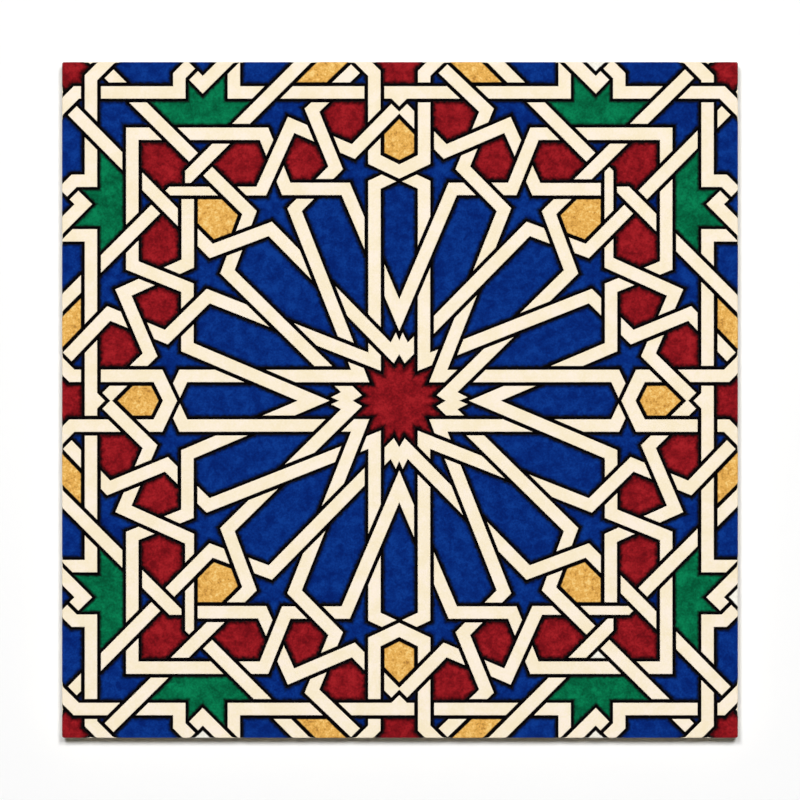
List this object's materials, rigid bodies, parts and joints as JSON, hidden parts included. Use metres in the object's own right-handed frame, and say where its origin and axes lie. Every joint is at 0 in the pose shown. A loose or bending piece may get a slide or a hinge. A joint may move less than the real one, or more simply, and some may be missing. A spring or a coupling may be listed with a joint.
{
  "type": "star pattern tile",
  "caption": "Square glazed ceramic tile with a traditional interlaced star pattern on its face, a softened glazed edge and a keyed back for adhesive.",
  "frame": {"origin": "centre of the tile's back, in the plane of the flat ribs that it rests on", "axes": "+Z out of the glazed face, +Y to the top of the pattern, +X to its right"},
  "size_m": [0.1524, 0.1524, 0.0064],
  "materials": {
    "tile_body": "satin",
    "line_glaze": "satin",
    "ivory_glaze": "satin",
    "cobalt_glaze": "satin",
    "red_glaze": "satin",
    "green_glaze": "satin",
    "gold_glaze": "satin"
  },
  "bodies": {
    "root": {"tile": "tile_body"}
  },
  "joints": []
}
